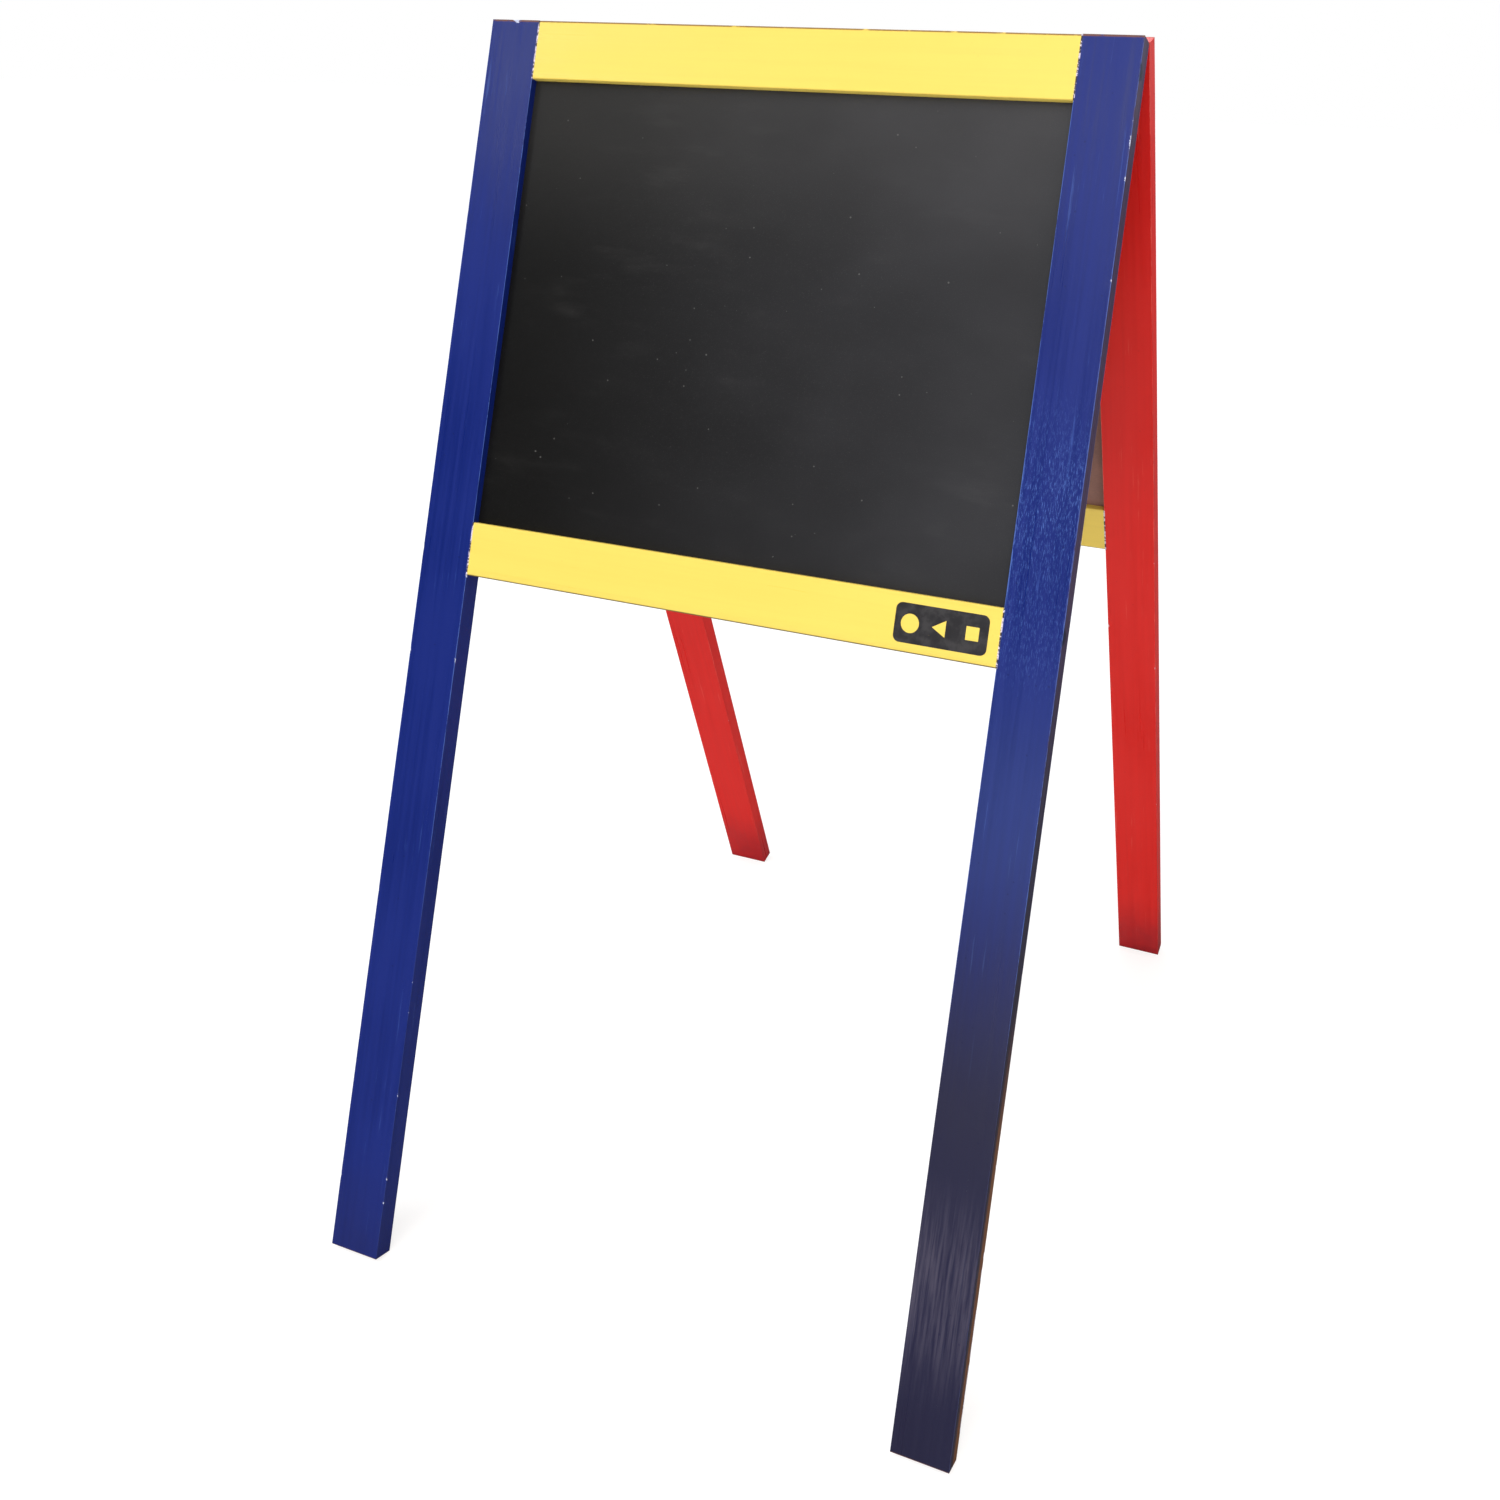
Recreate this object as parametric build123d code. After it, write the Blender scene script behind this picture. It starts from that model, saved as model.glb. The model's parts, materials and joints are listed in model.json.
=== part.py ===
from build123d import *
import os
from math import cos, radians, sin

# A double-sided folding easel for a child: two doweled timber frames, each with a
# drawing board in a groove, hinged together at the top.
# X runs across the easel, Y from the front frame to the rear one, Z up.
# The origin is on the floor, in the middle of the four feet.

# ---- driving dimensions, in millimetres and degrees ----
LEG_LENGTH = 1010.0
EASEL_WIDTH = 544.0
STILE_WIDTH = 45.0
TIMBER_THICKNESS = 15.0
EDGE_RADIUS = 1.2
LEG_TOP_RADIUS = 10.0
TOP_RAIL_HEIGHT = 47.0
BOTTOM_RAIL_HEIGHT = 43.0
BOARD_OPENING_HEIGHT = 360.0
OPEN_HALF_ANGLE = 18.0

BOARD_THICKNESS = 3.0
GROOVE_DEPTH = 8.0
BOARD_TONGUE = 7.0

DOWEL_RADIUS = 3.0
DOWEL_LENGTH = 40.0
DOWEL_CHAMFER = 0.8
DOWEL_HOLE_RADIUS = 3.05
DOWEL_HOLE_DEPTH = 21.0
TOP_DOWEL_DROPS = (12.0, 31.0)
BOTTOM_DOWEL_DROPS = (16.0, 33.0)

HINGE_LENGTH = 50.0
HINGE_CENTRE_X = 150.0
HINGE_LEAF_HEIGHT = 20.0
HINGE_LEAF_THICKNESS = 1.2
HINGE_LEAF_CORNER = 2.0
KNUCKLE_COUNT = 5
KNUCKLE_GAP = 0.3
KNUCKLE_RADIUS = 2.6
KNUCKLE_CLEARANCE = 0.3
PIN_RADIUS = 1.25
PIN_HOLE_RADIUS = 1.30
PIN_HEAD_RADIUS = 2.1
PIN_HEAD_LENGTH = 0.9

SCREW_RADIUS = 1.5
SCREW_HEAD_RADIUS = 2.7
SCREW_DEPTH = 10.0
SCREW_TIP_LENGTH = 2.5
SCREW_SPACING = 17.0
SCREW_DROP = 12.0

STOP_GAP = 0.4
CUT_MARGIN = 1.0

# ---- derived dimensions ----
# A frame is drawn upright with the hinge pin's axis on the X axis. Its inner face is
# FACE_OFFSET in front of the axis, and its top edge HINGE_DROP above it: far enough
# for the two top rails' inner edges to meet, and stop the legs, at the open angle.
FACE_OFFSET = KNUCKLE_RADIUS + KNUCKLE_CLEARANCE
HALF_ANGLE_COS = cos(radians(OPEN_HALF_ANGLE))
HALF_ANGLE_SIN = sin(radians(OPEN_HALF_ANGLE))
HINGE_DROP = (FACE_OFFSET * HALF_ANGLE_COS - STOP_GAP / 2) / HALF_ANGLE_SIN
TOP_Z = HINGE_DROP
FOOT_Z = TOP_Z - LEG_LENGTH
TOP_RAIL_Z = TOP_Z - TOP_RAIL_HEIGHT
BOTTOM_RAIL_Z = TOP_RAIL_Z - BOARD_OPENING_HEIGHT
BOTTOM_RAIL_FOOT_Z = BOTTOM_RAIL_Z - BOTTOM_RAIL_HEIGHT
INNER_Y = -FACE_OFFSET
OUTER_Y = INNER_Y - TIMBER_THICKNESS
MIDDLE_Y = INNER_Y - TIMBER_THICKNESS / 2
SIDE_X = EASEL_WIDTH / 2
RAIL_END_X = SIDE_X - STILE_WIDTH
PIN_HEIGHT = -FOOT_Z * HALF_ANGLE_COS - FACE_OFFSET * HALF_ANGLE_SIN

SIDES = {"left": -1, "right": 1}
FRAMES = ("front", "rear")


def block(x_range, y_range, z_range):
    """A box between two values on each axis."""
    size = [high - low for low, high in (x_range, y_range, z_range)]
    middle = [(high + low) / 2 for low, high in (x_range, y_range, z_range)]
    return Pos(*middle) * Box(*size)


def rod(radius, x_start, x_end, y=0.0, z=0.0):
    """A cylinder along X."""
    length = x_end - x_start
    return Pos((x_start + x_end) / 2, y, z) * Rot(0, 90, 0) * Cylinder(radius, length)


def dowel_heights():
    """Each corner's dowels, as heights in the upright frame."""
    return {
        "top": [TOP_Z - drop for drop in TOP_DOWEL_DROPS],
        "bottom": [BOTTOM_RAIL_Z - drop for drop in BOTTOM_DOWEL_DROPS],
    }


def dowel_holes(side):
    """The holes for one side's dowels, in the stile and in both rail ends."""
    joint_x = side * RAIL_END_X
    heights = dowel_heights()
    return [
        rod(DOWEL_HOLE_RADIUS, joint_x - DOWEL_HOLE_DEPTH, joint_x + DOWEL_HOLE_DEPTH, MIDDLE_Y, z)
        for z in heights["top"] + heights["bottom"]
    ]


def board_groove():
    """The groove that runs round the inside of a frame. The rails hide its ends."""
    reach = RAIL_END_X + GROOVE_DEPTH
    half = BOARD_THICKNESS / 2
    return block(
        (-reach, reach),
        (MIDDLE_Y - half, MIDDLE_Y + half),
        (BOTTOM_RAIL_Z - GROOVE_DEPTH, TOP_RAIL_Z + GROOVE_DEPTH),
    )


def stile(side):
    """One leg: rounded at the inner top edge, grooved beside the board, bored for four dowels."""
    x_range = sorted((side * RAIL_END_X, side * SIDE_X))
    leg = block(x_range, (OUTER_Y, INNER_Y), (FOOT_Z, TOP_Z))
    top_edge = leg.edges().filter_by(Axis.X).sort_by(Axis.Z)[-2:].sort_by(Axis.Y)[-1]
    leg = fillet(top_edge, LEG_TOP_RADIUS)
    leg = fillet(leg.edges().filter_by(Axis.Z), EDGE_RADIUS)
    leg -= board_groove()
    for hole in dowel_holes(side):
        leg -= hole
    return leg


def rail(low_z, high_z):
    """One cross rail, grooved along the board's edge and bored at both ends."""
    bar = block((-RAIL_END_X, RAIL_END_X), (OUTER_Y, INNER_Y), (low_z, high_z))
    bar = fillet(bar.edges().filter_by(Axis.X), EDGE_RADIUS)
    bar -= board_groove()
    for side in SIDES.values():
        for hole in dowel_holes(side):
            bar -= hole
    return bar


def top_rail():
    """The upper rail, with pilot holes for both hinges' screws in its inner face."""
    bar = rail(TOP_RAIL_Z, TOP_Z)
    for side in SIDES.values():
        for x in screw_places(side):
            bar -= screw(x)
    return bar


def drawing_board():
    """The hardboard panel, which floats in the groove with a little room to swell."""
    reach = RAIL_END_X + BOARD_TONGUE
    half = BOARD_THICKNESS / 2
    return block(
        (-reach, reach),
        (MIDDLE_Y - half, MIDDLE_Y + half),
        (BOTTOM_RAIL_Z - BOARD_TONGUE, TOP_RAIL_Z + BOARD_TONGUE),
    )


def dowel_pair(side, corner):
    """The two dowels that join a rail to a stile."""
    joint_x = side * RAIL_END_X
    pins = []
    for z in dowel_heights()[corner]:
        pin = rod(DOWEL_RADIUS, joint_x - DOWEL_LENGTH / 2, joint_x + DOWEL_LENGTH / 2, MIDDLE_Y, z)
        pins.append(chamfer(pin.edges().filter_by(GeomType.CIRCLE), DOWEL_CHAMFER))
    return Compound(children=pins)


def knuckle_spans(side):
    """Where each knuckle of a hinge starts and ends along the pin."""
    pitch = (HINGE_LENGTH + KNUCKLE_GAP) / KNUCKLE_COUNT
    start = side * HINGE_CENTRE_X - HINGE_LENGTH / 2
    return [(start + i * pitch, start + (i + 1) * pitch - KNUCKLE_GAP) for i in range(KNUCKLE_COUNT)]


def screw_places(side):
    """The three screws of one leaf, as positions along X."""
    return [side * HINGE_CENTRE_X + step * SCREW_SPACING for step in (-1, 0, 1)]


def screw(x):
    """A countersunk wood screw, driven from the inner face towards the outer one."""
    face_y = INNER_Y + HINGE_LEAF_THICKNESS
    tip_y = INNER_Y - SCREW_DEPTH
    neck_y = tip_y + SCREW_TIP_LENGTH
    half_profile = Polyline(
        (0, face_y),
        (SCREW_HEAD_RADIUS, face_y),
        (SCREW_RADIUS, INNER_Y),
        (SCREW_RADIUS, neck_y),
        (0, tip_y),
        close=True,
    )
    return Pos(x, 0, -SCREW_DROP) * revolve(make_face(half_profile), Axis.Y)


def hinge_leaf(side, first_knuckle):
    """One leaf: a plate on the rail's inner face, every second knuckle, three screw holes."""
    middle = side * HINGE_CENTRE_X
    face_y = INNER_Y + HINGE_LEAF_THICKNESS
    plate_top = -(KNUCKLE_RADIUS + KNUCKLE_CLEARANCE)
    plate = block(
        (middle - HINGE_LENGTH / 2, middle + HINGE_LENGTH / 2),
        (INNER_Y, face_y),
        (-HINGE_LEAF_HEIGHT, plate_top),
    )
    corners = plate.edges().filter_by(Axis.Y).group_by(Axis.Z)[0]
    leaf = fillet(corners, HINGE_LEAF_CORNER)
    own_spans = knuckle_spans(side)[first_knuckle::2]
    for x_start, x_end in own_spans:
        leaf += block((x_start, x_end), (INNER_Y, face_y), (plate_top - CUT_MARGIN, 0))
        leaf += rod(KNUCKLE_RADIUS, x_start, x_end)
    for x_start, x_end in own_spans:
        leaf -= rod(PIN_HOLE_RADIUS, x_start - CUT_MARGIN, x_end + CUT_MARGIN)
    for x in screw_places(side):
        leaf -= screw(x)
    return leaf


def hinge_pin(side):
    """The pin, headed over at both ends of the barrel."""
    start = side * HINGE_CENTRE_X - HINGE_LENGTH / 2
    end = start + HINGE_LENGTH
    shaft = rod(PIN_RADIUS, start - PIN_HEAD_LENGTH, end + PIN_HEAD_LENGTH)
    shaft += rod(PIN_HEAD_RADIUS, start - PIN_HEAD_LENGTH, start)
    shaft += rod(PIN_HEAD_RADIUS, end, end + PIN_HEAD_LENGTH)
    return shaft


def screw_set(side):
    """One leaf's three screws."""
    return Compound(children=[screw(x) for x in screw_places(side)])


def frame_parts(frame):
    """Every piece of one frame, drawn upright as the front one."""
    board_name = {"front": "chalkboard_panel", "rear": "whiteboard_panel"}[frame]
    parts = {
        f"{frame}_top_rail": top_rail(),
        f"{frame}_bottom_rail": rail(BOTTOM_RAIL_FOOT_Z, BOTTOM_RAIL_Z),
        board_name: drawing_board(),
    }
    for name, side in SIDES.items():
        parts[f"{frame}_{name}_stile"] = stile(side)
        parts[f"{name}_hinge_{frame}_leaf"] = hinge_leaf(side, FRAMES.index(frame))
        parts[f"{name}_hinge_{frame}_screws"] = screw_set(side)
        for corner in dowel_heights():
            parts[f"{frame}_{corner}_{name}_dowels"] = dowel_pair(side, corner)
        if frame == "front":
            parts[f"{name}_hinge_pin"] = hinge_pin(side)
    return parts


def stand_up(part, frame):
    """Swings an upright frame's part out about the hinge pin and lifts it to its height."""
    if frame == "front":
        return Pos(0, 0, PIN_HEIGHT) * Rot(-OPEN_HALF_ANGLE, 0, 0) * part
    return Pos(0, 0, PIN_HEIGHT) * Rot(OPEN_HALF_ANGLE, 0, 0) * mirror(part, about=Plane.XZ)


os.makedirs("parts", exist_ok=True)
for frame in FRAMES:
    for name, part in frame_parts(frame).items():
        export_step(stand_up(part, frame), f"parts/{name}.step")
print("hinge pin height", round(PIN_HEIGHT, 3), "hinge drop", round(HINGE_DROP, 3))
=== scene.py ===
import json
import random
from math import cos, pi, radians, sin

import bmesh
import bpy
from mathutils import Euler, Matrix, Vector, noise

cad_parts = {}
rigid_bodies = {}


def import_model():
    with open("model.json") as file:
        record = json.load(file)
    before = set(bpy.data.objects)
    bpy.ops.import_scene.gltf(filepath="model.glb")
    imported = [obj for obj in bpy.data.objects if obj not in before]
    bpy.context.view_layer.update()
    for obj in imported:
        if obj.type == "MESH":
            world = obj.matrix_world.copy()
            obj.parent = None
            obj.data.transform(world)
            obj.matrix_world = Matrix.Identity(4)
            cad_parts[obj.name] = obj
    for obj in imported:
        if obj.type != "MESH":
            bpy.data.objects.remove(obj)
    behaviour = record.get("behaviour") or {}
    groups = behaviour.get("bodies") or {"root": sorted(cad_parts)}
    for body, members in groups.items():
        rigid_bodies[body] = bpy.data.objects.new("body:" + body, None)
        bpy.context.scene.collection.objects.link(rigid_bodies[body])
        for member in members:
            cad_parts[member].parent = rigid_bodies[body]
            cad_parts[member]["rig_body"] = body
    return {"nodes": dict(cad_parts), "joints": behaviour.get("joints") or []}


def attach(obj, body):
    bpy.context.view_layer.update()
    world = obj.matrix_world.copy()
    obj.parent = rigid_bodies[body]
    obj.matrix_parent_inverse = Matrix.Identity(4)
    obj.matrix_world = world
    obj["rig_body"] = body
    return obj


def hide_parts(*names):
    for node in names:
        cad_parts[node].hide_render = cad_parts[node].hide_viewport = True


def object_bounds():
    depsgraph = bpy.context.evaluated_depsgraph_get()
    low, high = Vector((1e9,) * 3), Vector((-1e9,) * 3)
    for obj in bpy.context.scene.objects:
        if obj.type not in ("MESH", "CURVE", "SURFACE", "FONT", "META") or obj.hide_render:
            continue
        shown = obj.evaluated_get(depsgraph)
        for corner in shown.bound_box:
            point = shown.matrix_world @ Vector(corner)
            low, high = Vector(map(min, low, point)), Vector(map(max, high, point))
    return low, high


bl_info = {
    "name": "Folding easel for a child",
    "version": (1, 0, 0),
    "blender": (4, 5, 0),
    "location": "3D View > Sidebar > Easel",
    "description": "Builds the painted timber, boards, hinges and printed marks of a folding easel",
    "category": "Add Mesh",
}

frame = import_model()
CAD_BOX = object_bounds()

# ---- places that come from the frame ----
# Each of the two frames is worked on upright, with the hinge pin along X through the
# origin and its outer face towards -Y. STAND swings it out to where it stands.
MM = 0.001
FOLD = next(joint for joint in frame["joints"] if joint["name"] == "fold")
PIN = Vector(FOLD["pos_m"])
HALF_ANGLE = radians(-min(FOLD["range_deg"])) / 2
STAND = {
    "front_frame": Matrix.Translation(PIN) @ Matrix.Rotation(-HALF_ANGLE, 4, "X"),
    "rear_frame": Matrix.Translation(PIN)
    @ Matrix.Rotation(HALF_ANGLE, 4, "X")
    @ Matrix.Rotation(pi, 4, "Z"),
}
X, Y, Z = range(3)


def upright_box(node):
    """The lowest and highest corner of a CAD node, in its own frame's upright place."""
    piece = frame["nodes"][node]
    to_upright = STAND[piece["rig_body"]].inverted()
    places = [to_upright @ vertex.co for vertex in piece.data.vertices]
    low = Vector([min(place[axis] for place in places) for axis in (X, Y, Z)])
    high = Vector([max(place[axis] for place in places) for axis in (X, Y, Z)])
    return low, high


LEG_LOW, LEG_HIGH = upright_box("front_right_stile")
TOP_RAIL_LOW, TOP_RAIL_HIGH = upright_box("front_top_rail")
LOW_RAIL_LOW, LOW_RAIL_HIGH = upright_box("front_bottom_rail")
BOARD_LOW, BOARD_HIGH = upright_box("chalkboard_panel")
JOINT_X = TOP_RAIL_HIGH.x
TIMBER_MIDDLE_Y = (LEG_LOW.y + LEG_HIGH.y) / 2
PAINTS = {"front_frame": "blue_paint", "rear_frame": "red_paint"}


# ---- what a user may change ----
class TimberSettings(bpy.types.PropertyGroup):
    """How the legs and rails are worked."""

    edge_radius: bpy.props.FloatProperty(
        name="Edge radius", description="Rounding of the long edges", default=1.2 * MM, unit="LENGTH"
    )
    end_radius: bpy.props.FloatProperty(
        name="End radius", description="Rounding of the sawn ends", default=0.5 * MM, unit="LENGTH"
    )
    top_radius: bpy.props.FloatProperty(
        name="Top radius", description="Rounding of a leg's inner top edge", default=10 * MM, unit="LENGTH"
    )
    loop_spacing: bpy.props.FloatProperty(
        name="Loop spacing", description="Distance between loops along a bar", default=4 * MM, unit="LENGTH"
    )
    waviness: bpy.props.FloatProperty(
        name="Waviness", description="How far sanding leaves the faces from flat", default=0.09 * MM,
        unit="LENGTH",
    )


class PaintSettings(bpy.types.PropertyGroup):
    """The colours of the paint, and of what shows where it is worn."""

    blue: bpy.props.FloatVectorProperty(
        name="Blue", description="Front legs", default=(0.0035, 0.0145, 0.155), subtype="COLOR"
    )
    red: bpy.props.FloatVectorProperty(
        name="Red", description="Rear legs", default=(0.7, 0.0135, 0.0095), subtype="COLOR"
    )
    yellow: bpy.props.FloatVectorProperty(
        name="Yellow", description="Rails", default=(0.8, 0.605, 0.112), subtype="COLOR"
    )
    blue_worn: bpy.props.FloatVectorProperty(
        name="Worn blue", description="Blue paint rubbed thin", default=(0.055, 0.12, 0.42), subtype="COLOR"
    )
    red_worn: bpy.props.FloatVectorProperty(
        name="Worn red", description="Red paint rubbed thin", default=(0.85, 0.15, 0.12), subtype="COLOR"
    )
    yellow_worn: bpy.props.FloatVectorProperty(
        name="Worn yellow", description="Yellow paint rubbed thin", default=(0.42, 0.26, 0.07), subtype="COLOR"
    )
    primer: bpy.props.FloatVectorProperty(
        name="Primer", description="Pale coat under the paint", default=(0.72, 0.74, 0.85), subtype="COLOR"
    )
    bare_wood: bpy.props.FloatVectorProperty(
        name="Bare wood", description="Timber under both coats", default=(0.17, 0.062, 0.018), subtype="COLOR"
    )


class BoardSettings(bpy.types.PropertyGroup):
    """The two drawing boards."""

    bow: bpy.props.FloatProperty(
        name="Bow", description="How far a board bellies out in its middle", default=0.5 * MM, unit="LENGTH"
    )
    chalkboard: bpy.props.FloatVectorProperty(
        name="Chalkboard", description="Matte black face", default=(0.0038, 0.0036, 0.0034), subtype="COLOR"
    )
    # Also the colour of the painted reflection towards the chalkboard's top.
    chalk: bpy.props.FloatVectorProperty(
        name="Chalk", description="Dust and scratches", default=(0.34, 0.33, 0.32), subtype="COLOR"
    )
    whiteboard: bpy.props.FloatVectorProperty(
        name="Whiteboard", description="Wipe-clean face", default=(0.82, 0.82, 0.8), subtype="COLOR"
    )
    hardboard: bpy.props.FloatVectorProperty(
        name="Hardboard", description="Bare pressed fibre", default=(0.24, 0.125, 0.1), subtype="COLOR"
    )


class HardwareSettings(bpy.types.PropertyGroup):
    """Hinges and screws."""

    plate: bpy.props.FloatVectorProperty(
        name="Plate", description="Passivated steel of the leaves", default=(0.72, 0.69, 0.6), subtype="COLOR"
    )
    screw: bpy.props.FloatVectorProperty(
        name="Screw", description="Zinc of the screws", default=(0.66, 0.65, 0.63), subtype="COLOR"
    )
    slot_width: bpy.props.FloatProperty(
        name="Slot width", description="Width of a screw's cross slot", default=0.75 * MM, unit="LENGTH"
    )
    slot_depth: bpy.props.FloatProperty(
        name="Slot depth", description="Depth of a screw's cross slot", default=0.8 * MM, unit="LENGTH"
    )


class MarkSettings(bpy.types.PropertyGroup):
    """The plain printed label on the lower front rail."""

    ink: bpy.props.FloatVectorProperty(
        name="Ink", description="Printed film", default=(0.018, 0.017, 0.02), subtype="COLOR"
    )
    film: bpy.props.FloatProperty(
        name="Film", description="How proud the printed film stands", default=0.1 * MM, unit="LENGTH"
    )
    inset: bpy.props.FloatProperty(
        name="Inset", description="From the leg to the label", default=9 * MM, unit="LENGTH"
    )
    width: bpy.props.FloatProperty(
        name="Width", description="Width of the label", default=72 * MM, unit="LENGTH"
    )
    height: bpy.props.FloatProperty(
        name="Height", description="Height of the label", default=29 * MM, unit="LENGTH"
    )
    corner_radius: bpy.props.FloatProperty(
        name="Corner radius", description="Rounding of the label's corners", default=5 * MM, unit="LENGTH"
    )
    shape_radius: bpy.props.FloatProperty(
        name="Shape radius", description="Size of the three plain shapes", default=7 * MM, unit="LENGTH"
    )


class StageSettings(bpy.types.PropertyGroup):
    """Camera and light."""

    camera_place: bpy.props.FloatVectorProperty(
        name="Camera place", description="Where the camera stands", default=(0.5089, -0.9774, 0.9313),
        subtype="TRANSLATION", unit="LENGTH",
    )
    camera_turn: bpy.props.FloatVectorProperty(
        name="Camera turn", description="How the camera is turned",
        default=(radians(72.334), radians(-1.996), radians(19.167)), subtype="EULER", unit="ROTATION",
    )
    lens: bpy.props.FloatProperty(name="Lens", description="Focal length in mm", default=32.347)
    shift: bpy.props.FloatVectorProperty(
        name="Shift", description="Rise and cross of the lens", default=(-0.1731, -0.1593), size=2
    )
    ambient: bpy.props.FloatProperty(name="Ambient", description="Light from all round", default=0.42)
    key: bpy.props.FloatProperty(name="Key", description="Power of the large front light", default=46.0)
    top: bpy.props.FloatProperty(name="Top", description="Strength of the overhead light", default=1.5)
    warm: bpy.props.FloatProperty(name="Warm", description="Power of the warm side light", default=6.0)
    sheen: bpy.props.FloatProperty(name="Sheen", description="Power of the light that glosses the top", default=4.0)
    back: bpy.props.FloatProperty(name="Back", description="Power of the light behind", default=20.0)
    low_fill: bpy.props.FloatProperty(
        name="Low fill", description="Power of the light near the floor", default=7.0
    )
    glint: bpy.props.FloatProperty(name="Glint", description="Power of the small high light", default=7.0)


SETTINGS = {
    "easel_timber": TimberSettings,
    "easel_paint": PaintSettings,
    "easel_board": BoardSettings,
    "easel_hardware": HardwareSettings,
    "easel_marks": MarkSettings,
    "easel_stage": StageSettings,
}


# ---- mesh work ----
def box_mesh(low, high):
    """A box between two corners."""
    bm = bmesh.new()
    bmesh.ops.create_cube(bm, size=1.0)
    bmesh.ops.scale(bm, vec=high - low, verts=bm.verts)
    bmesh.ops.translate(bm, vec=(low + high) / 2, verts=bm.verts)
    return bm


def cut_loops(bm, axis, places):
    """Adds a loop of edges all round at each place along an axis."""
    normal = Vector([1.0 if axis == each else 0.0 for each in (X, Y, Z)])
    for place in places:
        geometry = bm.verts[:] + bm.edges[:] + bm.faces[:]
        bmesh.ops.bisect_plane(bm, geom=geometry, dist=1e-7, plane_co=normal * place, plane_no=normal)


def between(low, high, count):
    """Places that share a span evenly, without its ends."""
    return [low + (high - low) * step / (count + 1) for step in range(1, count + 1)]


def sharp_edges(bm, least=radians(40)):
    """The edges where two faces meet at a corner."""
    return [edge for edge in bm.edges if edge.is_manifold and edge.calc_face_angle(0) > least]


def runs_along(edge, axis):
    """True for an edge parallel to an axis."""
    run = edge.verts[1].co - edge.verts[0].co
    return abs(run[axis]) > 0.999 * run.length


def ease(bm, edges, radius, segments=3):
    """Rounds edges over."""
    bmesh.ops.bevel(
        bm, geom=edges, offset=radius, offset_type="OFFSET", affect="EDGES",
        segments=segments, profile=0.5, material=-1, clamp_overlap=True,
    )


def divide_length(bm, axis, spacing):
    """Adds even loops along a bar, so that its faces can wave and chip."""
    spans = {}
    for edge in bm.edges:
        length = edge.calc_length()
        if length > 2 * spacing and runs_along(edge, axis):
            spans.setdefault(round(length / spacing), []).append(edge)
    for count, edges in spans.items():
        bmesh.ops.subdivide_edges(bm, edges=edges, cuts=count - 1, use_grid_fill=True)


def wave(bm, amount, length, seed):
    """Moves each corner a little along its normal, as sanding by hand leaves it."""
    start = Vector((seed * 3.7, seed * 1.3, seed * 2.1))
    bm.normal_update()
    for vert in bm.verts:
        vert.co += vert.normal * amount * noise.noise(vert.co / length + start)


def wear_layer(bm):
    """The number on each corner that says how much paint is gone there."""
    return bm.verts.layers.float.get("bare") or bm.verts.layers.float.new("bare")


def knock(bm, centre, reach, depth, bare):
    """Dents a bar towards its middle around a point, and marks its paint as gone."""
    layer = wear_layer(bm)
    middle_y = TIMBER_MIDDLE_Y
    for vert in bm.verts:
        offset = vert.co - centre
        share = 1 - sum((offset[axis] / reach[axis]) ** 2 for axis in (X, Y, Z))
        if share > 0:
            inward = Vector((0, middle_y - vert.co.y, 0)).normalized()
            vert.co += inward * depth * share
            vert[layer] = max(vert[layer], bare * share ** 0.5)


def knock_edge(bm, x, y, z_range, count, size, seed, bare=1.0):
    """Scatters small knocks along one upright edge."""
    dice = random.Random(seed)
    for _ in range(count):
        z = dice.uniform(*z_range)
        length = size * dice.uniform(1.0, 4.5)
        reach = Vector((size * dice.uniform(0.5, 1.1), size * 0.9, length))
        knock(bm, Vector((x, y, z)), reach, dice.uniform(0.1, 0.35) * MM, bare * dice.uniform(0.6, 1.0))


def to_piece(bm, name, body, replaced, materials):
    """Finishes a mesh drawn upright: stands it up, and hands it to the frame."""
    bmesh.ops.transform(bm, matrix=STAND[body], verts=bm.verts)
    for face in bm.faces:
        face.smooth = True
    for edge in sharp_edges(bm, radians(50)):
        edge.smooth = False
    mesh = bpy.data.meshes.new(name)
    bm.to_mesh(mesh)
    bm.free()
    for material in materials:
        mesh.materials.append(material)
    piece = bpy.data.objects.new(name, mesh)
    bpy.context.scene.collection.objects.link(piece)
    even = piece.modifiers.new("even_normals", "WEIGHTED_NORMAL")
    even.keep_sharp = True
    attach(piece, body)
    if replaced:
        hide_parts(*replaced)
    return piece


# ---- shader work ----
def rgba(colour):
    """A colour setting as a shader colour."""
    return (colour[0], colour[1], colour[2], 1.0)


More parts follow.
